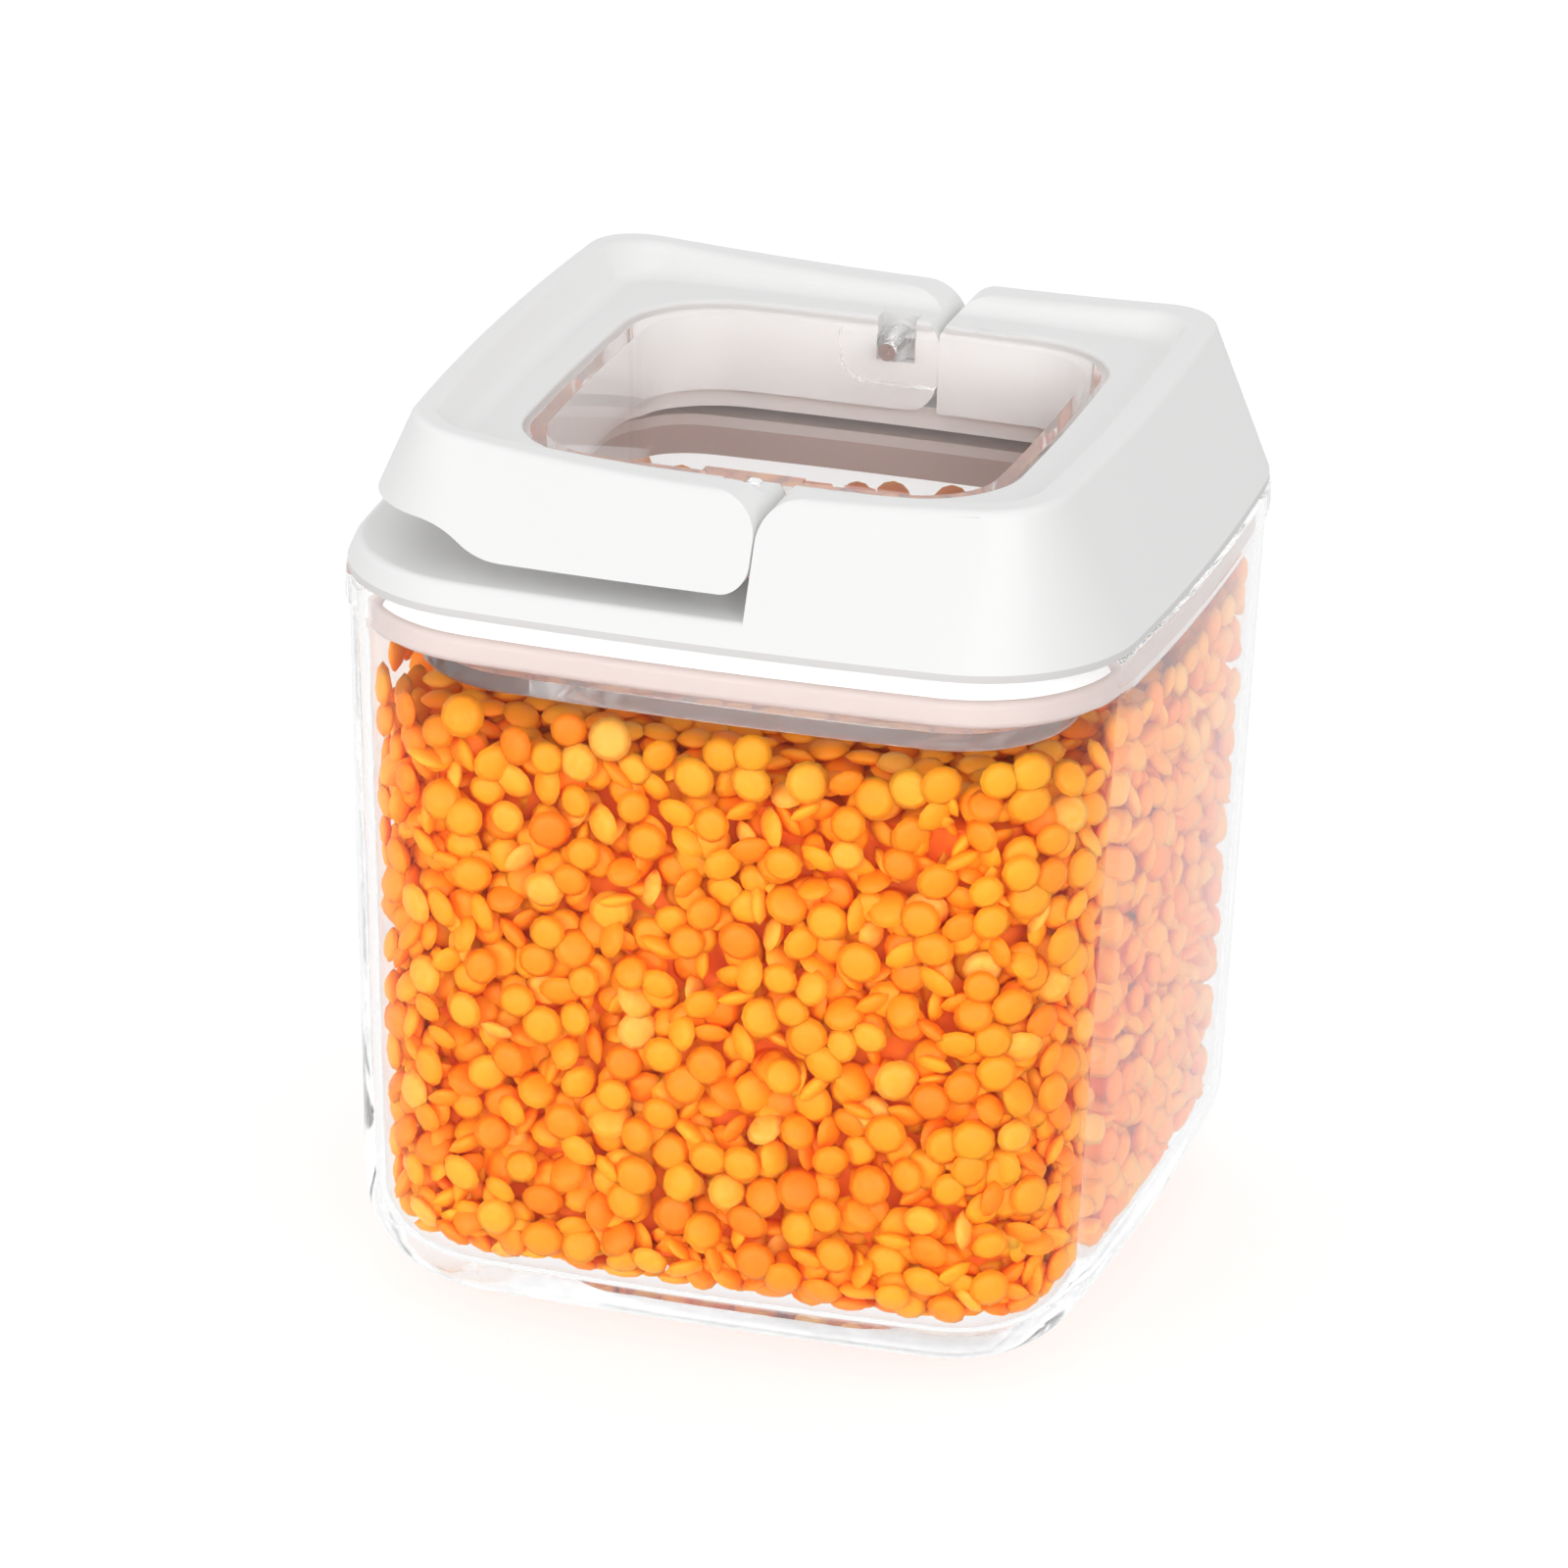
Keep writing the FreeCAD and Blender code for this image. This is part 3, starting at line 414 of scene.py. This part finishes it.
# Lid cover: one white moulding with the fixed half of the lid and the wall of the window. It sits on the
# carrier's flange, and the whole lid lifts off.
white_plastic = satin_plastic("white satin plastic", (0.93, 0.93, 0.925), 0.36)
dress("lid_cover", white_plastic)

# Flip lever: the other half of the lid, moulded of the same white plastic. It turns on two pins that the
# tray carries.
dress("flip_lever", white_plastic)

# Tray: one clear moulding, seen in the window of the lid, with its pan below the seal. The lever draws
# it up by the pins in its two hinge bosses.
# The tray's edge colour is a light grey of painted shade where it is seen edge-on.
dress("inner_tray", clear_plastic(
    "tray clear plastic", tint=(0.995, 0.995, 0.995), edge=(0.85, 0.85, 0.86),
    bend=1.08, gloss_bend=1.5, haze=0.07, flow=0.02, flow_depth=0.00003))

# Hinge pins: two plain turned steel pins, held in the tray's bosses. The lever runs on them.
steel, steel_tree = new_material("pin steel")
show(steel_tree, steel_tree.node("ShaderNodeBsdfPrincipled", None, {
    "Base Color": (0.72, 0.72, 0.73, 1.0), "Metallic": 1.0,
    "Roughness": 0.2 + 0.2 * noise(steel_tree, 0.0006)}))
for pin in ("hinge_pin_front", "hinge_pin_rear"):
    dress(pin, steel)

# Stage: a pale floor that shows nearly white to the camera and keeps a faint shadow, soft light all
# round, one wide lamp in front and a fill from the left.
floor_shape = bmesh.new()
bmesh.ops.create_grid(floor_shape, x_segments=1, y_segments=1, size=4.0)
floor_mesh = bpy.data.meshes.new("floor")
floor_shape.to_mesh(floor_mesh)
floor_shape.free()
floor = place("floor", floor_mesh)
floor.location.z = -0.0002
paper, paper_tree = new_material("floor paper")
path = paper_tree.node("ShaderNodeLightPath")
paper_body = paper_tree.node("ShaderNodeBsdfDiffuse", None, {"Color": (0.45, 0.45, 0.45, 1.0)})
paper_glow = paper_tree.node("ShaderNodeEmission", None, {"Strength": 0.72 * path["Is Camera Ray"]})
paper_seen = paper_tree.node("ShaderNodeAddShader", None, {0: paper_body, 1: paper_glow})
paper_white = paper_tree.node("ShaderNodeEmission", None, {"Strength": 1.0})
show(paper_tree, paper_tree.node("ShaderNodeMixShader", None, {
    0: path["Is Glossy Ray"] + path["Is Transmission Ray"], 1: paper_seen, 2: paper_white}))
floor.data.materials.append(paper)

world = bpy.data.worlds.new("studio")
bpy.context.scene.world = world
world.use_nodes = True
world.node_tree.nodes.clear()
sky = Tree(world.node_tree)
path = sky.node("ShaderNodeLightPath")
shown = path["Is Camera Ray"] + path["Is Glossy Ray"] + path["Is Transmission Ray"]
strength = 0.72 + 0.28 * shown
glow = sky.node("ShaderNodeBackground", None, {"Color": (1.0, 1.0, 1.0, 1.0), "Strength": strength})
sky.node("ShaderNodeOutputWorld", None, {"Surface": glow})


def soft_lamp(name, width, height, power, spot, aim):
    """Wide rectangular lamp that faces a point."""
    lamp = bpy.data.lights.new(name, "AREA")
    lamp.shape = "RECTANGLE"
    lamp.size = width
    lamp.size_y = height
    lamp.energy = power
    holder = bpy.data.objects.new(name, lamp)
    bpy.context.scene.collection.objects.link(holder)
    holder.location = spot
    holder.rotation_euler = (Vector(aim) - holder.location).to_track_quat("-Z", "Y").to_euler()


soft_lamp("front lamp", width=1.2, height=0.9, power=6.2, spot=(0.75, -1.22, 0.5), aim=(0, 0, 0.06))
soft_lamp("left fill", width=0.8, height=0.4, power=4.2, spot=(-0.7, -1.25, 0.18), aim=(0, 0, 0.1))

# Light runs a long way inside the clear walls before it leaves them, so its paths may turn often.
bpy.context.scene.cycles.max_bounces = 128
bpy.context.scene.cycles.glossy_bounces = 96
bpy.context.scene.cycles.transmission_bounces = 64
bpy.context.scene.cycles.diffuse_bounces = 8

# Camera: the photograph's long lens, from a little above and to the right of the front.
CAMERA_YAW = math.radians(16.715)
CAMERA_PITCH = math.radians(21.63)
CAMERA_ROLL = math.radians(1.483)
CAMERA_DISTANCE = 1.2834
CAMERA_AIM = Vector((0, 0, 0.055))
camera = bpy.data.cameras.new("camera")
camera.lens = 227.98
camera.sensor_width = 36.0
camera.sensor_fit = "HORIZONTAL"
camera.shift_x = -0.0149
camera.shift_y = 0.0253
camera.clip_end = 20.0
camera_holder = bpy.data.objects.new("camera", camera)
bpy.context.scene.collection.objects.link(camera_holder)
towards_camera = Vector((math.sin(CAMERA_YAW) * math.cos(CAMERA_PITCH),
                         -math.cos(CAMERA_YAW) * math.cos(CAMERA_PITCH), math.sin(CAMERA_PITCH)))
camera_holder.rotation_mode = "QUATERNION"
roll = Quaternion((0, 0, 1), CAMERA_ROLL)
camera_holder.rotation_quaternion = towards_camera.to_track_quat("Z", "Y") @ roll
camera_holder.location = CAMERA_AIM + towards_camera * CAMERA_DISTANCE
bpy.context.scene.camera = camera_holder
bpy.context.scene.view_settings.view_transform = "Standard"
